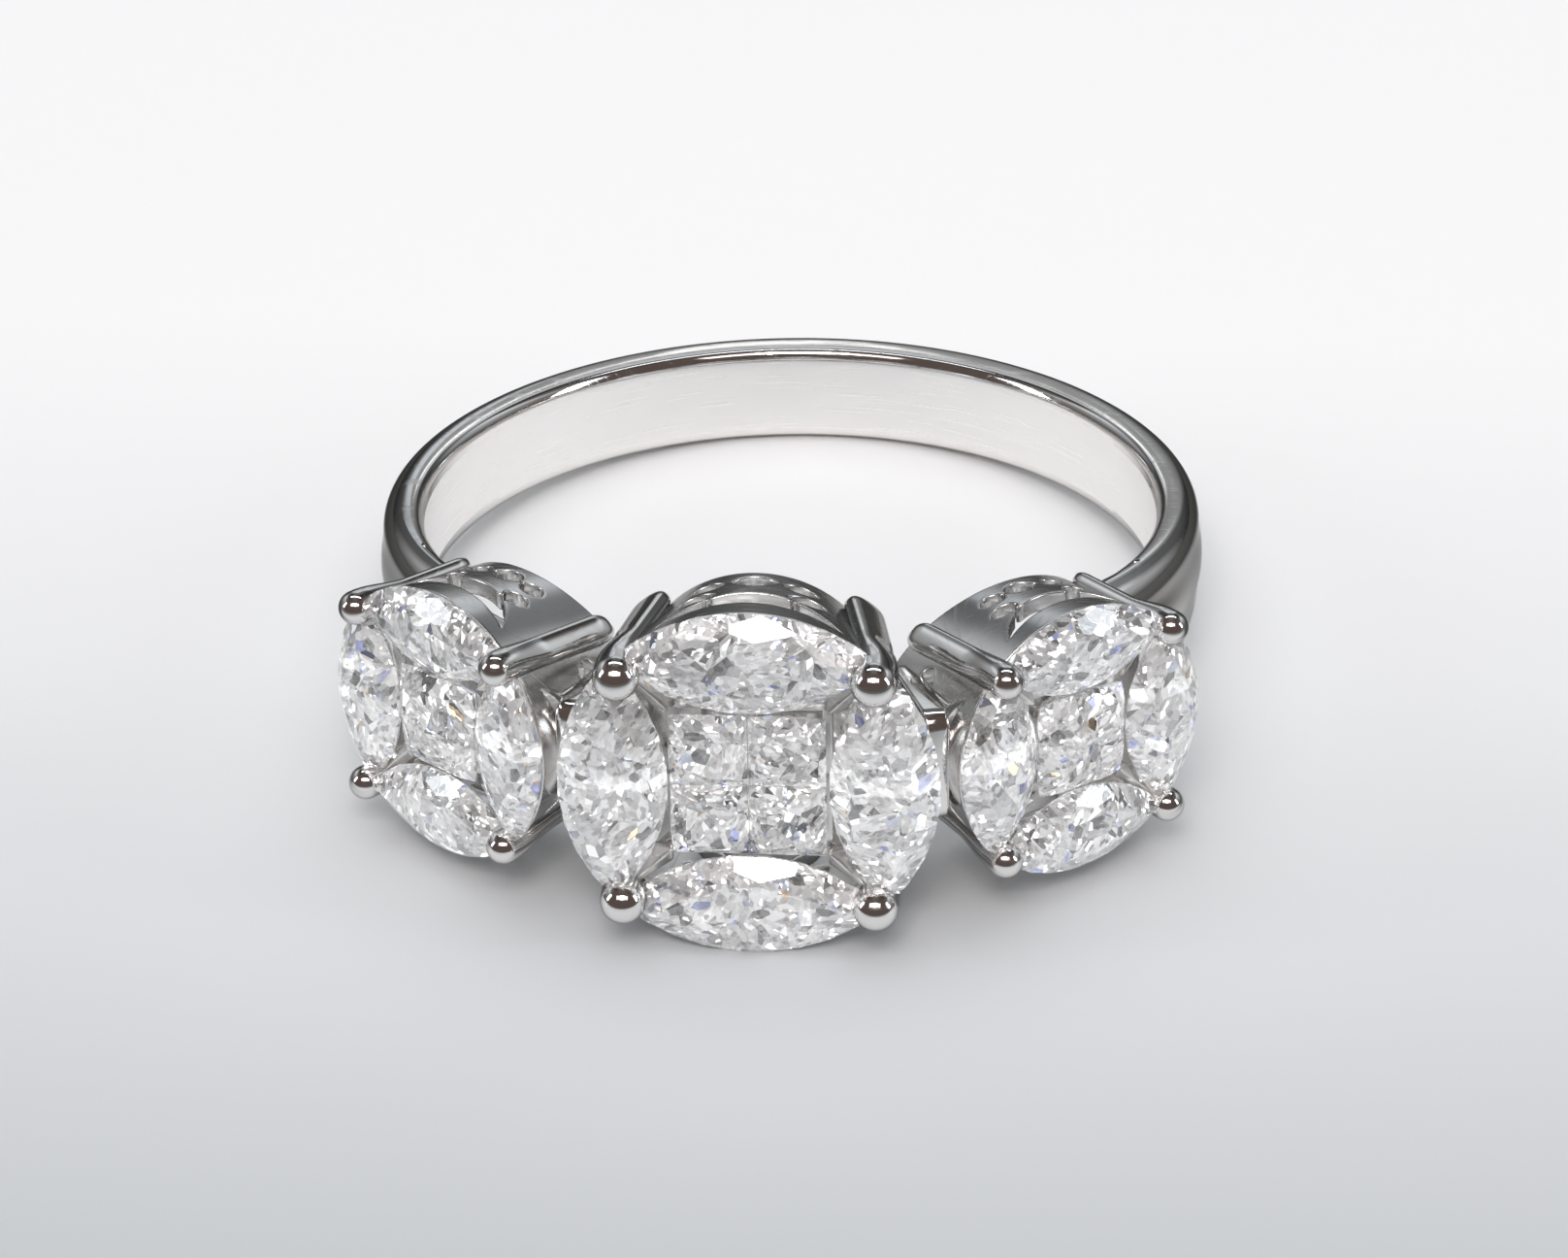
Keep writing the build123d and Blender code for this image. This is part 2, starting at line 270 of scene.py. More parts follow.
# Fine wear on polished metal: hairline scratches that lie in two directions, faint smears of the
# polishing cloth, and a gentle unevenness left by the file
wear, wear_in, wear_out = new_group(
    "fine_wear", [("Vector", "Vector", None), ("Roughness", "Float", 0.08), ("Unevenness", "Float", 0.12)],
    [("Roughness", "Float"), ("Normal", "Vector")])
spot = wear_in.outputs["Vector"]
scratches = []
for turn, size in (((0.3, 0.5, 0.2), (900, 24000, 900)), ((1.1, 0.2, 1.9), (700, 700, 20000))):
    turned = node(wear, "ShaderNodeMapping", {"Vector": spot, "Rotation": turn, "Scale": size})
    scratches.append(spread(wear, noise(wear, turned.outputs[0], 1.0, 1.0), 0.62, 0.72))
scratched = maths(wear, "MAXIMUM", *scratches)
smeared = spread(wear, noise(wear, spot, 900.0, 4.0), 0.35, 0.75, -0.02, 0.035)
rough = maths(wear, "ADD", wear_in.outputs["Roughness"], smeared)
rough = maths(wear, "MULTIPLY_ADD", scratched, 0.1, rough)
bump = node(wear, "ShaderNodeBump", {"Height": noise(wear, spot, 420.0, 1.0), "Distance": 0.00012,
                                     "Strength": wear_in.outputs["Unevenness"]})
bump = node(wear, "ShaderNodeBump", {"Height": scratched, "Distance": 0.000002, "Strength": 0.15,
                                     "Normal": bump.outputs[0]})
wear.links.new(rough, wear_out.inputs["Roughness"])
wear.links.new(bump.outputs[0], wear_out.inputs["Normal"])


def worn_metal(name, colour, tint, **wear_values):
    """White gold with fine wear. The tint dims its mirror images where they are seen edge on."""
    material, tree, shader, place = new_material(name, Base_Color=(*colour, 1.0), Metallic=1.0,
                                                 Specular_Tint=(tint, tint, tint, 1.0))
    worn = node(tree, "ShaderNodeGroup", {}, node_tree=wear)
    tree.links.new(place, worn.inputs["Vector"])
    for key, value in wear_values.items():
        worn.inputs[key].default_value = value
    for key in ("Roughness", "Normal"):
        tree.links.new(worn.outputs[key], shader.inputs[key])
    return material


polished = worn_metal("polished_white_gold", (0.90, 0.885, 0.87), 0.4)

# Satin finish: brushed lines that run round the finger, so they change fast along its axis alone
satin, tree, shader, place = new_material("satin_white_gold", Base_Color=(0.92, 0.91, 0.895, 1.0),
                                          Metallic=1.0)
lean = np.arctan2(ring_axis[1], ring_axis[2])
upright = node(tree, "ShaderNodeMapping", {"Vector": place, "Rotation": (lean, 0, 0)})
squeezed = node(tree, "ShaderNodeMapping", {"Vector": upright.outputs[0], "Scale": (500, 500, 30000)})
line = noise(tree, squeezed.outputs[0], 1.0, 3.0)
tree.links.new(spread(tree, line, 0.3, 0.7, 0.26, 0.42), shader.inputs["Roughness"])
bump = node(tree, "ShaderNodeBump", {"Height": line, "Distance": 0.000004, "Strength": 0.35})
tree.links.new(bump.outputs[0], shader.inputs["Normal"])

radius, along = band_section(np.array(band_reach))
band_ends = np.pi - right_head.turn - wall_angle(right_head, radius, along, wall / 2)
radius, along = band_section(np.linspace(-1, 1, band_rows) * band_ends.mean())
band = gold_piece("band", [swept_round_finger(radius, along, band_ends, np.pi, band_rows)], polished, satin)
corners = np.array([vertex.co for vertex in band.data.vertices]) - ring_middle
out = np.linalg.norm(corners - np.outer(corners @ ring_axis, ring_axis), axis=1)
in_bore = out < finger_radius + bore_margin
band.data.polygons.foreach_set("material_index", [int(in_bore[list(face.vertices)].all())
                                                  for face in band.data.polygons])

# The bridge
# A flat rail of white gold that carries the finger hole on under the heads, from one end of the
# band to the other, soldered to the feet of all three baskets.

bridge_thickness = 0.7 * mm
bridge_corner = 0.12 * mm
bridge_rows = 241
corner_points = 6
sink = 0.02 * mm                    # a foot starts this far above the finger hole's wall


def rounded_rectangle(half_a, half_b, corner, inset=0.0):
    """A loop of points round a rectangle whose corners are quarter circles."""
    radius, a, b = corner - inset, [], []
    for quarter, (sign_a, sign_b) in enumerate([(1, 1), (-1, 1), (-1, -1), (1, -1)]):
        cosine, sine = arc(90 * quarter, 90 * quarter + 90, corner_points)
        a.append(sign_a * (half_a - corner) + radius * cosine)
        b.append(sign_b * (half_b - corner) + radius * sine)
    return np.concatenate(a), np.concatenate(b)


out, along = rounded_rectangle((bridge_thickness - sink) / 2, band_back_width / 2, bridge_corner)
radius = out + finger_radius + (bridge_thickness + sink) / 2
ends = right_head.turn + wall_angle(right_head, radius, along, wall / 2)
gold_piece("bridge", [swept_round_finger(radius, along, ends, 0.0, bridge_rows)], polished)

# The baskets
# Each head stands on a tapered cup of white gold, cast, then pierced with a saw: a crescent gap
# under the plain collar and pointed ovals in the lattice below it. The stones' seat is cut at the
# top, and the foot follows the finger hole.

seat_slope = np.tan(np.radians(47))
seat_drop = 0.06 * mm
seat_reach = 0.03 * mm
pierced_edge = 0.04 * mm
columns_round = 384
lattice_rows = 52
collar_rows = 8
foot_rounds, slide_rounds = 12, 8
nudge = 1e-9                        # keeps the first column off the border between two sides
far_off = 9.0                       # in millimetres, further than any opening
quarter_turns = np.radians(np.linspace(0, 90, 5))
openings = {
    "open": [(0.0, 2.35, 1.0, 0.6), (-1.02, 2.3, 0.76, 0.46), (1.02, 2.3, 0.76, 0.46),
             (-1.2, 1.66, 0.84, 0.46), (1.2, 1.66, 0.84, 0.46)],
    "joined": [(-1.75, 2.1, 0.7, 0.5), (1.75, 2.1, 0.7, 0.5)],
    "shoulder": [],
}                                   # place, depth, width and height in millimetres
crescent_half = 2.0
crescent_end, crescent_upper, crescent_lower = 0.62, 0.9, 1.54


def step_up(value, start, end):
    """A smooth step from 0 at the start to 1 at the end: three squares less two cubes."""
    share = np.clip((value - start) / (end - start), 0, 1)
    return share * share * (3 - 2 * share)


def opening_distance(head, side, lateral, depth):
    """Distance in millimetres from the nearest opening's edge, negative inside. A pointed oval is
    where two discs overlap, and the crescent is one disc less another."""
    scale = head.stones / centre_head.stones
    lateral, depth = lateral / mm, depth / mm
    half = crescent_half * scale
    bounds = []
    for bottom, sign in ((crescent_lower, 1), (crescent_upper, -1)):
        sag = bottom - crescent_end
        disc = (half ** 2 + sag ** 2) / (2 * sag)
        bounds.append(sign * (np.hypot(lateral, depth - bottom + disc) - disc))
    nearest = np.maximum(*bounds)
    for number, style in enumerate(head.sides):
        for place, middle, width, height in openings[style]:
            half, sag = width * scale / 2, height / 2
            disc = (half ** 2 + sag ** 2) / (2 * sag)
            upper = np.hypot(lateral - place * scale, depth - middle + disc - sag) - disc
            lower = np.hypot(lateral - place * scale, depth - middle - disc + sag) - disc
            oval = np.where(side == number, np.maximum(upper, lower), far_off)
            nearest = np.minimum(nearest, oval)
    return nearest


def on_wall(head, side, lateral, depth, inset):
    """Points of the basket's wall that face one of the four sides, from their place along the
    side and their depth: the oval gives how far out they lie."""
    height = girdle_height - depth
    half_along, half_across = semi_axes(head, height, inset)
    facing = np.where(side % 2 == 0, half_along, half_across)
    sideways = np.where(side % 2 == 0, half_across, half_along)
    out = facing * np.sqrt(1 - np.clip(lateral / sideways, -1, 1) ** 2)
    cosine, sine = np.cos(side * np.pi / 2), np.sin(side * np.pi / 2)
    return in_head(head, out * cosine - lateral * sine, out * sine + lateral * cosine, height)


def foot_depth(head, around, inset):
    """Depth at which the wall meets the finger hole, where the squares of its place round the
    finger and of its height add up to the square of the hole's radius."""
    height = np.full_like(around, finger_radius)
    for _ in range(foot_rounds):
        half_along, _across = semi_axes(head, height, inset)
        height = np.sqrt((finger_radius + sink) ** 2 - (half_along * np.cos(around)) ** 2)
    return girdle_height - height


def basket_parts(head):
    """A closed wall from two like grids, outside and inside. Faces in an opening are left out,
    their border is slid along the distance field to the opening's edge, and a rounded edge is
    carried through the wall from there. The collar, the seat and the foot close it."""
    around = np.linspace(0, 2 * np.pi, columns_round, endpoint=False)[None, :] - np.pi / 4 + nudge
    side_row = np.floor((around + np.pi / 4) / (np.pi / 2)).astype(int)
    within = around - side_row * np.pi / 2
    share = np.linspace(0, 1, lattice_rows)[:, None]
    rim_depth = seat_drop + (collar_inset + seat_reach) * seat_slope
    inner_rim_depth = rim_depth + wall * seat_slope
    feet = [foot_depth(head, around, inset) for inset in (0.0, wall)]
    depth = inner_rim_depth + (feet[0] - pierced_edge - inner_rim_depth) * share
    side = np.broadcast_to(side_row, depth.shape)

    def sideways(depth, inset):
        """Place along the side, which is the sideways half length times the sine within it."""
        half_along, half_across = semi_axes(head, girdle_height - depth, inset)
        return np.where(side_row % 2 == 0, half_across, half_along) * np.sin(within)

    lateral = sideways(depth, 0.0)
    faces = grid_faces(lattice_rows, columns_round, close_columns=True)
    kept = opening_distance(head, side, lateral, depth).ravel()[faces].mean(1) > pierced_edge / mm
    border = np.intersect1d(faces[kept], faces[~kept])
    b_side, b_lateral, b_depth = (a.ravel()[border] for a in (side, lateral, depth))
    tiny = 1e-3 * mm
    for _ in range(slide_rounds):
        here = opening_distance(head, b_side, b_lateral, b_depth)
        slope = np.array([opening_distance(head, b_side, b_lateral + tiny, b_depth) - here,
                          opening_distance(head, b_side, b_lateral, b_depth + tiny) - here])
        slope /= np.hypot(*slope) + 1e-12
        move = 0.8 * (here * mm - pierced_edge)
        b_lateral, b_depth = b_lateral - move * slope[0], b_depth - move * slope[1]
    lateral.ravel()[border], depth.ravel()[border] = b_lateral, b_depth

    # The inner wall has the outer one's places round the openings, and its own oval's at the corners
    corner = step_up(np.abs(within) / (np.pi / 4), 0.8, 0.98)
    inner_lateral = lateral * (1 - corner) + sideways(depth, wall) * corner
    inner_depth = depth + (feet[1] - feet[0]) * step_up(share, 0.85, 1.0)
    outside = on_wall(head, side, lateral, depth, 0.0)
    inside = on_wall(head, side, inner_lateral, inner_depth, wall)
    parts = [(outside, faces[kept]), (inside, faces[kept])]

    edge = [(pierced_edge * np.sin(turn), pierced_edge * (1 - np.cos(turn))) for turn in quarter_turns]
    edge += [(slide, wall - inset) for slide, inset in reversed(edge)]
    rows = np.array([on_wall(head, b_side, b_lateral - slide * slope[0], b_depth - slide * slope[1], inset)
                     for slide, inset in edge])
    rows[-1] = inside.reshape(-1, 3)[border]
    lines, others = (np.concatenate([faces[mask][:, [k, (k + 1) % 4]] for k in range(4)])
                     for mask in (kept, ~kept))
    keys, other_keys = (pair.max(1) * depth.size + pair.min(1) for pair in (lines, others))
    start, end = np.searchsorted(border, lines[np.isin(keys, other_keys)].T)
    strips = [np.stack([n * len(border) + start, n * len(border) + end, (n + 1) * len(border) + end,
                        (n + 1) * len(border) + start], -1) for n in range(len(rows) - 1)]
    parts.append((rows, np.concatenate(strips)))

    def ring_at(depth, inset):
        """A loop of points round the wall at one depth, or at a depth of its own for each column."""
        depth = depth + 0 * around
        return on_wall(head, side_row, sideways(depth, inset), depth, inset)[0]

    rounding = [(pierced_edge * (1 - np.sin(t)), pierced_edge * (1 - np.cos(t))) for t in quarter_turns[1:]]
    collar = [ring_at(d, 0.0) for d in np.linspace(inner_rim_depth, rim_depth + pierced_edge, collar_rows)]
    collar += [ring_at(rim_depth + drop, inset) for drop, inset in rounding]
    foot = [outside[-1]] + [ring_at(feet[0] - drop, inset) for drop, inset in rounding]
    for rings in (collar + [inside[0]], foot + [inside[-1]]):
        parts.append((np.array(rings), grid_faces(len(rings), columns_round, close_columns=True)))
    return parts


# Cast metal that a polishing wheel can't reach: softer reflections than on the outside of the band
cast = worn_metal("cast_white_gold", (0.90, 0.89, 0.88), 0.5, Roughness=0.2, Unevenness=0.3)

for head in heads:
    gold_piece(f"{head.name}_basket", basket_parts(head), cast)

# The prongs
# Flat straps of drawn white gold, soldered up the outside of each basket. Their ends are rounded
# into beads, which are pressed down over the tips of two neighbouring marquises.

strap_inset = 0.1 * mm
strap_foot = 7.9 * mm               # height at which a strap would have its foot's place
strap_squareness = 2.7
foot_round, foot_blunt = 0.4 * mm, 0.35
neck = 1.2 * mm                     # below the girdle, where a strap starts to swell into its bead
foot_levels, strap_levels, bead_levels, prong_columns = 9, 42, 18, 48
foot_arc = 80.0                     # degrees of the foot's quarter circle that get levels of their own


def prong_part(head, across, up):
    """A stack of superellipse sections, the power 2 over n of a cosine and a sine. They rise from
    the finger hole with n of 2.7, as a half flat strap. From the neck up, a smooth step turns the
    strap's section into the bead's circle, which then follows a sphere to its pole."""
    prong = head.prong
    foot_x, foot_y = prong["foot"]
    top = (head.stones - strap_inset) / np.sqrt(2)
    bead_middle = girdle_height + prong["rise"]
    start = np.sqrt((finger_radius + 2 * sink) ** 2 - foot_x ** 2)
    foot = start + foot_round * (1 - np.cos(np.radians(np.linspace(0, foot_arc, foot_levels))))
    strap = np.linspace(start + foot_round, bead_middle, strap_levels)[:-1]
    bead = bead_middle + prong["bead"] * np.sin(np.radians(np.linspace(0, 90, bead_levels)))
    levels = np.concatenate([foot, strap, bead])[:, None]
    rise = np.clip((levels - strap_foot) / (girdle_height - strap_foot), 0, 1)
    x, y = foot_x + (top - foot_x) * rise, foot_y + (top - foot_y) * rise
    facing, reach = np.arctan2(y, x), np.hypot(x, y)
    ball = np.sqrt(np.clip(prong["bead"] ** 2 - np.clip(levels - bead_middle, 0, None) ** 2, 0, None))
    swell = step_up(levels, girdle_height - neck, bead_middle)
    outer = (reach + prong["thickness"] / 2) * (1 - swell) + (prong["reach"] + ball) * swell
    inner = (reach - prong["thickness"] / 2) * (1 - swell) + (prong["reach"] - ball) * swell
    half_width = prong["width"] / 2 * (1 - swell) + ball * swell
    power = 2 / (strap_squareness - (strap_squareness - 2) * swell)
    from_end = np.clip((levels - start) / foot_round, 0, 1)
    taper = foot_blunt + (1 - foot_blunt) * np.sqrt(1 - (1 - from_end) ** 2)
    turn = np.linspace(0, 2 * np.pi, prong_columns, endpoint=False)[None, :]
    cosine, sine = np.cos(turn), np.sin(turn)
    out = (outer + inner) / 2 + (outer - inner) / 2 * taper * np.sign(cosine) * np.abs(cosine) ** power
    wide = half_width * taper * np.sign(sine) * np.abs(sine) ** power
    x, y = out * np.cos(facing) - wide * np.sin(facing), out * np.sin(facing) + wide * np.cos(facing)
    floor = np.sqrt((finger_radius + 2 * sink) ** 2 - x[0] ** 2)
    share = np.clip((levels - start) / (bead_middle - start), 0, 1)
    height = levels + (floor - start) * (1 - share)
    return in_head(head, across * x, up * y, height), tube_faces(len(levels), prong_columns, capped=(0,))


for head in heads:
    gold_piece(f"{head.name}_prongs", [prong_part(head, across, up) for across in (-1, 1) for up in (-1, 1)],
               polished)

# The webs
# Plates of white gold soldered between neighbouring baskets, which keep the three heads in line.

web_turn = np.radians(20.9)
web_thickness, web_half_width = 0.56 * mm, 1.35 * mm
web_top = 11.45 * mm
web_corner, web_edge = 0.4 * mm, 0.08 * mm


def plate(half_a, half_b, half_c, corner, edge):
    """Points and faces of a rounded plate in its own frame. Loops of its outline go through the
    thickness, drawn in by a quarter circle at both faces."""
    profile = [(edge * (1 - np.sin(t)), edge * (1 - np.cos(t)) - half_c) for t in quarter_turns]
    profile += [(inset, -level) for inset, level in reversed(profile)]
    outline_points = 4 * corner_points
    loops = [np.stack([*rounded_rectangle(half_a, half_b, corner, inset), np.full(outline_points, level)], -1)
             for inset, level in profile]
    return np.array(loops).reshape(-1, 3), tube_faces(len(loops), outline_points)


parts = []
for turn in (-web_turn, web_turn):
    points, faces = plate((web_top - finger_radius - sink) / 2, web_half_width, web_thickness / 2,
                          web_corner, web_edge)
    out = points[:, 0] + (web_top + finger_radius + sink) / 2
    parts.append((in_row(out * np.sin(turn) + points[:, 2] * np.cos(turn),
                         out * np.cos(turn) - points[:, 2] * np.sin(turn), points[:, 1]), faces))
gold_piece("webs", parts, polished)

# The grids
# Thin bars of white gold under the square stones' edges and seams, tied to the collar below the
# prongs. The princess stones' grooves snap onto them.

bar_top, bar_bottom, bar_width = 0.5 * mm, 0.9 * mm, 0.22 * mm
bar_corner, bar_edge = 0.05 * mm, 0.04 * mm
tie_inset = 0.3 * mm
kite_depth, kite_thickness, kite_slope = 0.1 * mm, 0.34 * mm, 0.9
kite_tip = np.radians(44)           # from a marquise's middle to its tip, about the head's middle
kite_inner, kite_outer = 0.04 * mm, 0.35 * mm       # from the block's corner and from the collar
kite_blunt, kite_clear, kite_least = 0.02 * mm, 0.01 * mm, 0.01 * mm
marquise_gap = 0.06 * mm
kite_rows, kite_columns = 24, 9


def bar_part(head, start, end):
    """One bar between two places in the head, with rounded edges."""
    start, end = np.array(start), np.array(end)
    length = np.hypot(*(end - start))
    cosine, sine = (end - start) / length
    points, faces = plate((length + bar_width) / 2, bar_width / 2, (bar_bottom - bar_top) / 2,
                          bar_corner, bar_edge)
    middle = (start + end) / 2
    return in_head(head, middle[0] + points[:, 0] * cosine - points[:, 1] * sine,
                   middle[1] + points[:, 0] * sine + points[:, 1] * cosine,
                   girdle_height - (bar_top + bar_bottom) / 2 + points[:, 2]), faces


def kite_part(head, across, up):
    """A bright cut ridge in the kite between the block's corner and two marquises. Its line follows
    the diagonal, and it slopes down on both sides to the edges that the marquises' inner arcs,
    circles through their tips, leave free."""
    chord, half_length = head.stones * np.cos(kite_tip), head.stones * np.sin(kite_tip)
    rise = chord - head.block - marquise_gap
    arc_radius = (half_length ** 2 + rise ** 2) / (2 * rise)
    arc_middle = chord + arc_radius - rise
    start, end = np.sqrt(2) * head.block + kite_inner, head.stones - kite_outer
    diagonal = np.linspace(start, end, kite_rows)[:, None]
    free = np.hypot(diagonal / np.sqrt(2) - arc_middle, diagonal / np.sqrt(2)) - arc_radius
    free = np.minimum(free, diagonal - start + kite_blunt) - kite_clear
    side = np.linspace(-1, 1, kite_columns)[None, :] * np.maximum(free, kite_least)
    out = diagonal + 0 * side
    top, bottom = kite_depth + np.abs(side) * kite_slope, kite_depth + kite_thickness + 0 * side
    x, y = (out - side) / np.sqrt(2), (out + side) / np.sqrt(2)
    drop = np.concatenate([top, bottom[:, ::-1]], 1)
    x, y = (np.concatenate([part, part[:, ::-1]], 1) for part in (x, y))
    return (in_head(head, across * x, up * y, girdle_height - drop),
            tube_faces(kite_rows, 2 * kite_columns))


for head in heads:
    edge, tie = head.block, (head.stones - tie_inset) / np.sqrt(2)
    parts = []
    for sign in (-1, 1):
        parts += [bar_part(head, (-edge, sign * edge), (edge, sign * edge)),
                  bar_part(head, (sign * edge, -edge), (sign * edge, edge)),
                  bar_part(head, (sign * edge, edge), (sign * tie, tie)),
                  bar_part(head, (sign * edge, -edge), (sign * tie, -tie))]
    for seam in range(1, head.rows):
        level = edge * (2 * seam / head.rows - 1)
        parts += [bar_part(head, (-edge, level), (edge, level)),
                  bar_part(head, (level, -edge), (level, edge))]
    parts += [kite_part(head, across, up) for across in (-1, 1) for up in (-1, 1)]
    gold_piece(f"{head.name}_grid", parts, satin)

# The stones
# Princess and marquise stones, cut from clear crystal and polished facet by facet. Each marquise
# bears on the seat in the collar, and the beads hold its tips.


def vectors(tree, operation, *values, **named):
    """The result of a vector node on plain values or sockets, some of them named."""
    sockets = {**dict(enumerate(values)), **{key.title(): value for key, value in named.items()}}
    return node(tree, "ShaderNodeVectorMath", sockets, operation=operation).outputs[0]


def ramped(tree, factor, stops, interpolation="LINEAR"):
    """A ramp through (position, colour) stops. A colour given as one number is a grey."""
    ramp = node(tree, "ShaderNodeValToRGB", {"Fac": factor})
    ramp.color_ramp.interpolation = interpolation
    elements = ramp.color_ramp.elements
    elements.remove(elements[-1])
    for position, _colour in stops[1:]:
        elements.new(position)
    for element, (_position, colour) in zip(elements, stops):
        element.color = (*np.broadcast_to(colour, 3).tolist(), 1.0)
    return ramp.outputs[0]


# Crushed ice: what the eye sees in a small brilliant stone is a mosaic of shards, each a picture of
# another part of the room. Here those pictures are painted. Wide patches turn and stretch the shards
# inside them into splinters, and each shard gets a tilt, a painted grey for its reflection and now
# and then a painted colour for the stone's fire
patch_cells, shard_cells, chip_cells = 1300.0, 6200.0, 13500.0       # per metre
full_turn = 6.28                    # in radians
ice, ice_in, ice_out = new_group(
    "painted_crushed_ice", [("Vector", "Vector", None), ("Normal", "Vector", None), ("Tilt", "Float", 0.55),
                    ("Window", "Float", 0.0)],
    [("Color", "Color"), ("Painted Glint", "Color"), ("Normal", "Vector")])
spot = ice_in.outputs["Vector"]
patch = node(ice, "ShaderNodeTexVoronoi", {"Vector": spot, "Scale": patch_cells})
spin = vectors(ice, "SCALE", patch.outputs["Color"], scale=full_turn)
turned = node(ice, "ShaderNodeVectorRotate", {"Vector": spot, "Rotation": spin}, rotation_type="EULER_XYZ")
splinters = vectors(ice, "MULTIPLY", turned.outputs[0], (1.0, 0.45, 0.6))
tilt, levels, painted_greys = ice_in.outputs["Normal"], [], []
for source, size, share, stops in (
        (spot, patch_cells, 0.2, [(0.0, 0.72), (0.22, 0.88), (0.6, 1.0)]),
        (splinters, shard_cells, 0.75, [(0.0, 0.24), (0.06, 0.52), (0.20, 0.80), (0.48, 1.0)]),
        (splinters, chip_cells, 0.9, [(0.0, 0.50), (0.06, 0.80), (0.3, 1.0)])):
    cells = node(ice, "ShaderNodeTexVoronoi", {"Vector": source, "Scale": size}).outputs["Color"]
    centred = vectors(ice, "SUBTRACT", cells, (0.5, 0.5, 0.5))
    amount = maths(ice, "MULTIPLY", ice_in.outputs["Tilt"], share)
    tilt = vectors(ice, "ADD", tilt, vectors(ice, "SCALE", centred, scale=amount))
    levels.append(node(ice, "ShaderNodeSeparateColor", {"Color": cells}).outputs)
    painted_greys.append(ramped(ice, levels[-1][0], stops, "CONSTANT"))
_patches, shards, chips = levels
# Painted highlights: a few shards flash and a few chips glint, and both glow through the emission
painted_flash = ramped(ice, shards[1], [(0.0, 0.0), (0.93, 0.5), (0.965, 1.5)], "CONSTANT")
# Painted fire: now and then a shard is tinted blue, violet or orange
painted_fire = ramped(ice, shards[2], [(0.0, 1.0), (0.955, (0.82, 0.87, 1.0)), (0.978, (0.60, 0.66, 1.0)),
                                (0.989, (1.0, 0.82, 0.58))], "CONSTANT")
# Painted reflections: the three layers of greys, tinted by the painted fire, are the base colour
painted_reflections = vectors(ice, "MULTIPLY", vectors(ice, "MULTIPLY", painted_greys[0], painted_greys[1]), painted_greys[2])
painted_reflections = vectors(ice, "MULTIPLY", painted_reflections, painted_fire)
painted_glint = vectors(ice, "ADD", ramped(ice, chips[1], [(0.0, 0.0), (0.95, 0.4), (0.975, 1.8)], "CONSTANT"), painted_flash)
# A painted glow: three tenths of the painted reflections shine out through the emission as well
painted_glint = vectors(ice, "ADD", painted_glint, vectors(ice, "SCALE", painted_reflections, scale=0.30))
painted_glint = vectors(ice, "MULTIPLY", painted_glint, painted_fire)
# A painted reflection of a long window lies level across the side stones, ragged above and sharper
# below, and glows through the emission. Its edges are heights over the table, in metres
level = node(ice, "ShaderNodeSeparateXYZ", {0: spot}).outputs["Z"]
ragged = noise(ice, splinters, 4200.0, 2.0)
upper = spread(ice, maths(ice, "MULTIPLY_ADD", ragged, -0.0009, level), 0.00425, 0.00415)
lower = spread(ice, maths(ice, "MULTIPLY_ADD", ragged, -0.0002, level), 0.00408, 0.00412)
window = maths(ice, "MULTIPLY", maths(ice, "MULTIPLY", upper, lower), ice_in.outputs["Window"])
painted_glint = vectors(ice, "ADD", painted_glint, vectors(ice, "SCALE", painted_greys[1], scale=window))
for key, result in (("Color", painted_reflections), ("Painted Glint", painted_glint), ("Normal", vectors(ice, "NORMALIZE", tilt))):
    ice.links.new(result, ice_out.inputs[key])


def crystal(name, tilt, window, **values):
    """Clear crystal. Its shards lean by the tilt, so that a flat facet's mirror image breaks up. Its
    base colour holds the painted reflections and fire, its emission glows with the painted glints,
    and the window is its share of the painted window reflection.
    """
    material, tree, shader, place = new_material(name, IOR=2.42, Roughness=0.04, Metallic=0.3,
                                                 Transmission_Weight=0.4, Emission_Strength=0.5, **values)
    shards = node(tree, "ShaderNodeGroup", {"Vector": place, "Tilt": tilt, "Window": window}, node_tree=ice)
    tree.links.new(tree.nodes.new("ShaderNodeNewGeometry").outputs["Normal"], shards.inputs["Normal"])
    tree.links.new(shards.outputs["Color"], shader.inputs["Base Color"])
    tree.links.new(shards.outputs["Painted Glint"], shader.inputs["Emission Color"])
    tree.links.new(shards.outputs["Normal"], shader.inputs["Normal"])
    return material


# A marquise's wide crown facets still mirror the room, and it gets the painted window reflection; a
# princess has narrow ones, which only sparkle
crystals = {"marquise": crystal("clear_marquise", 0.55, 0.62, Coat_Weight=0.7, Coat_IOR=2.2,
                                Coat_Roughness=0.02),
            "princess": crystal("clear_princess", 1.0, 0.0)}
for name, stone in frame["nodes"].items():
    if name != "white_gold_ring":
        stone.data.materials.clear()
        stone.data.materials.append(crystals[name.split("_")[1]])

# The table, the light and the camera
# The ring lies on a pale sheet, lit by soft boxes, and is seen from in front and above.

sheet_half = 0.3
sheet = bpy.data.meshes.new("floor")
sheet.from_pydata([(x * sheet_half, y * sheet_half, 0) for x, y in ((-1, -1), (1, -1), (1, 1), (-1, 1))],
                  [], [(0, 1, 2, 3)])
floor = bpy.data.objects.new("floor", sheet)
bpy.context.scene.collection.objects.link(floor)
# The sheet is painted paler towards the back and darker towards the front, a painted falloff of the
# lamps' light. Mirror reflections see it painted dark away from the ring, as the room round a small
# sheet would be: painted shade that gives the polished metal its dark edges
paper, tree, shader, place = new_material("paper_with_painted_light", Roughness=0.7)
deep = node(tree, "ShaderNodeSeparateXYZ", {0: place}).outputs["Y"]
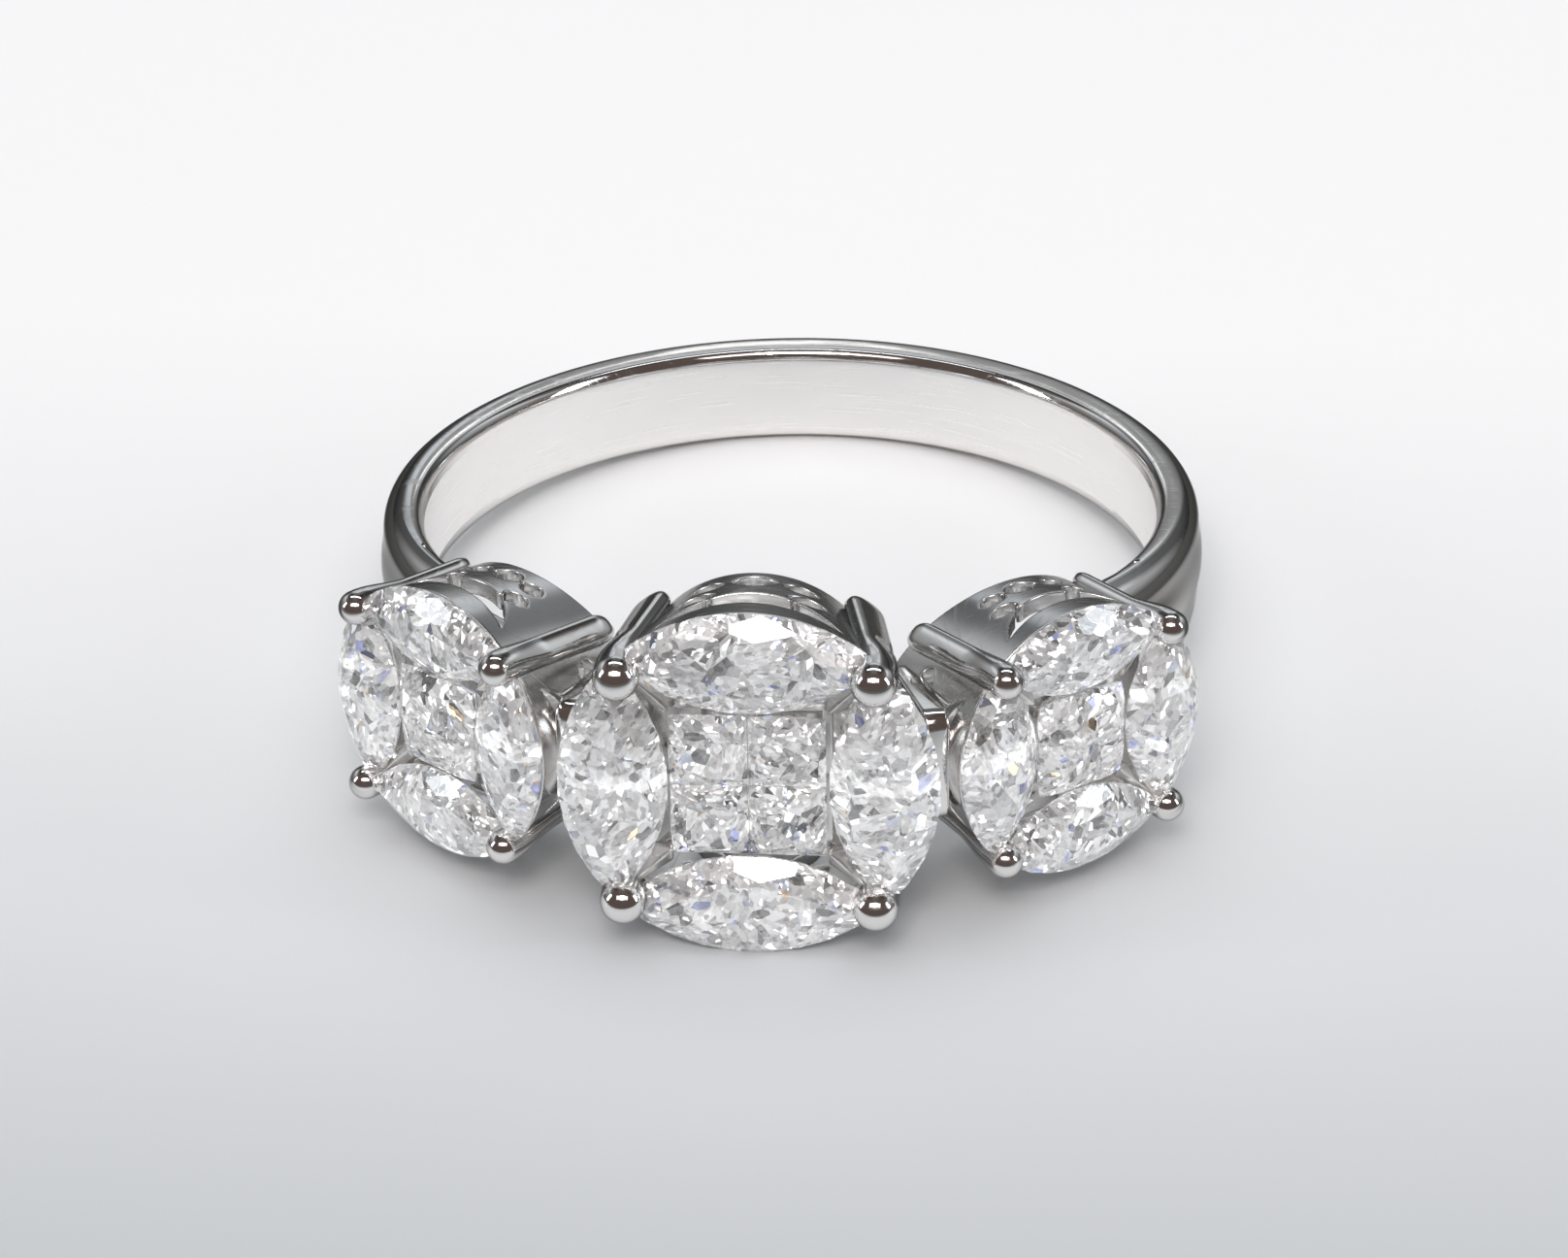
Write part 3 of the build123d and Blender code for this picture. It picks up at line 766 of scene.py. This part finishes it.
# Painted falloff of light: the paper's colour darkens towards the front
pale = ramped(tree, spread(tree, deep, -0.022, 0.033),
              [(0.0, (0.472, 0.493, 0.506)), (0.218, (0.612, 0.628, 0.640)), (0.4, (0.737, 0.745, 0.752)),
               (0.673, 0.852), (1.0, 0.878)])
away = node(tree, "ShaderNodeVectorMath", {0: place}, operation="LENGTH").outputs["Value"]
# Painted shade in mirror images: glossy rays see the sheet dark far from the ring, and nearer to it at its
# sides and back
beside = maths(tree, "MULTIPLY", spread(tree, away, 0.0115, 0.016), spread(tree, deep, -0.011, -0.004))
painted_dark_mask = maths(tree, "MAXIMUM", spread(tree, away, 0.020, 0.042), beside)
glossy = node(tree, "ShaderNodeLightPath").outputs["Is Glossy Ray"]
seen = node(tree, "ShaderNodeMixRGB", {0: maths(tree, "MULTIPLY", painted_dark_mask, glossy), 1: pale,
                                       2: (0.06, 0.06, 0.055, 1.0)})
tree.links.new(seen.outputs[0], shader.inputs["Base Color"])
sheet.materials.append(paper)

world = bpy.data.worlds.new("room")
bpy.context.scene.world = world
world.use_nodes = True
tree = world.node_tree
# In front of the ring the room is dark and warm. Behind it there is a pale wall with a bright band
toward = node(tree, "ShaderNodeSeparateXYZ", {0: tree.nodes.new("ShaderNodeTexCoord").outputs["Generated"]})
across, behind, above = toward.outputs
bands = ramped(tree, above, [(0.0, 0.10), (0.12, (0.20, 0.205, 0.21)), (0.24, (0.32, 0.325, 0.33)),
                             (0.36, (0.37, 0.38, 0.39)), (0.46, (0.66, 0.69, 0.72)),
                             (0.53, (0.66, 0.69, 0.72)), (0.60, (0.15, 0.145, 0.14)),
                             (0.85, (0.10, 0.095, 0.09)), (1.0, 0.20)])
# Two dark doorways stand to the left and right of the middle
doorways = ramped(tree, spread(tree, across, -1.0, 1.0),
                  [(0.0, 0.9), (0.15, 1.1), (0.24, 0.3), (0.36, 0.3), (0.41, 1.0), (0.59, 1.0), (0.64, 0.3),
                   (0.76, 0.3), (0.85, 1.1), (1.0, 0.9)])
bands = node(tree, "ShaderNodeMixRGB", {0: 1.0, 1: bands, 2: doorways}, blend_type="MULTIPLY").outputs[0]
room = node(tree, "ShaderNodeMixRGB", {0: spread(tree, behind, -0.2, 0.45), 1: (0.095, 0.072, 0.064, 1.0),
                                       2: bands})
background = tree.nodes["Background"]
background.inputs["Strength"].default_value = 1.0
tree.links.new(room.outputs[0], background.inputs["Color"])


def soft_box(name, place, target, size, power, colour):
    """A rectangular area light at a place, aimed at a target, both in metres from the ring."""
    lamp = bpy.data.lights.new(name, "AREA")
    lamp.shape = "RECTANGLE"
    lamp.size, lamp.size_y = size
    lamp.energy = power
    lamp.color = colour
    light = bpy.data.objects.new(name, lamp)
    away = np.array(place, float) - np.array(target, float)
    away /= np.linalg.norm(away)
    side = np.cross((0.0, 0.0, 1.0), away)
    side /= np.linalg.norm(side)
    light.matrix_world = Matrix(np.vstack([np.column_stack([side, np.cross(away, side), away, place]),
                                           [0, 0, 0, 1]]).tolist())
    bpy.context.scene.collection.objects.link(light)
    return light


soft_box("key", (0.0, -0.181, 0.231), (0, 0, 0.004), (0.11, 0.09), 0.25, (1.0, 0.955, 0.945))
soft_box("key_edge", (0.0, -0.185, 0.236), (0, 0, 0.004), (0.30, 0.10), 0.15, (1.0, 0.955, 0.945))
overhead = soft_box("overhead", (0.0, 0.01, 0.34), (0, 0, 0), (0.50, 0.50), 1.21, (0.96, 0.98, 1.0))
overhead.visible_glossy = False
strip = soft_box("strip", (0.0, 0.12, 0.32), (0, 0, 0.004), (0.34, 0.05), 0.16, (0.88, 0.95, 1.0))
strip.visible_diffuse = False
soft_box("window", (-0.042, 0.50, 0.155), (0, 0, 0.008), (0.026, 0.060), 0.0052, (1.0, 1.0, 1.0))
soft_box("window_left", (-0.128, 0.49, 0.155), (0, 0, 0.008), (0.105, 0.090), 0.0150, (0.84, 0.92, 1.0))
soft_box("window_right", (0.048, 0.50, 0.170), (0, 0, 0.008), (0.104, 0.060), 0.0090, (0.84, 0.92, 1.0))
soft_box("left", (-0.30, -0.05, 0.12), (0, 0, 0.004), (0.06, 0.16), 0.15, (0.86, 0.93, 1.0))
soft_box("right", (0.30, -0.05, 0.12), (0, 0, 0.004), (0.06, 0.16), 0.15, (0.86, 0.93, 1.0))
bpy.context.scene.view_settings.view_transform = "Standard"

# The camera was fitted to the photograph in the ring's own frame: how far off, how high and how far
# round it stands, its small roll, and the point it looks at
distance, rise, round_, roll = 116.192 * mm, 0.479018724, 0.0883045613, -0.0162697901
target = np.array([0.180234988, 4.21971978, 0.0]) * mm
sensor_width, focal_pixels, photo_pixels = 36.0, 5200, 1616
toward = np.array([np.sin(round_) * np.cos(rise), np.cos(round_) * np.cos(rise), np.sin(rise)])
rightward = np.array([np.cos(round_), -np.sin(round_), 0.0])
upward = np.array([-np.sin(round_) * np.sin(rise), -np.cos(round_) * np.sin(rise), np.cos(rise)])
cosine, sine = np.cos(roll), np.sin(roll)
turned_right, turned_up = cosine * rightward + sine * upward, cosine * upward - sine * rightward
axes = np.stack([ring_right, ring_front, ring_axis])
camera_data = bpy.data.cameras.new("camera")
camera_data.sensor_width = sensor_width
camera_data.lens = sensor_width * focal_pixels / photo_pixels
camera_data.clip_start, camera_data.clip_end = 0.005, 5.0
camera = bpy.data.objects.new("camera", camera_data)
pose = np.eye(4)
pose[:3, :3] = np.column_stack([turned_right @ axes, turned_up @ axes, toward @ axes])
pose[:3, 3] = ring_middle + (target + distance * toward) @ axes
camera.matrix_world = Matrix(pose.tolist())
bpy.context.scene.collection.objects.link(camera)
bpy.context.scene.camera = camera
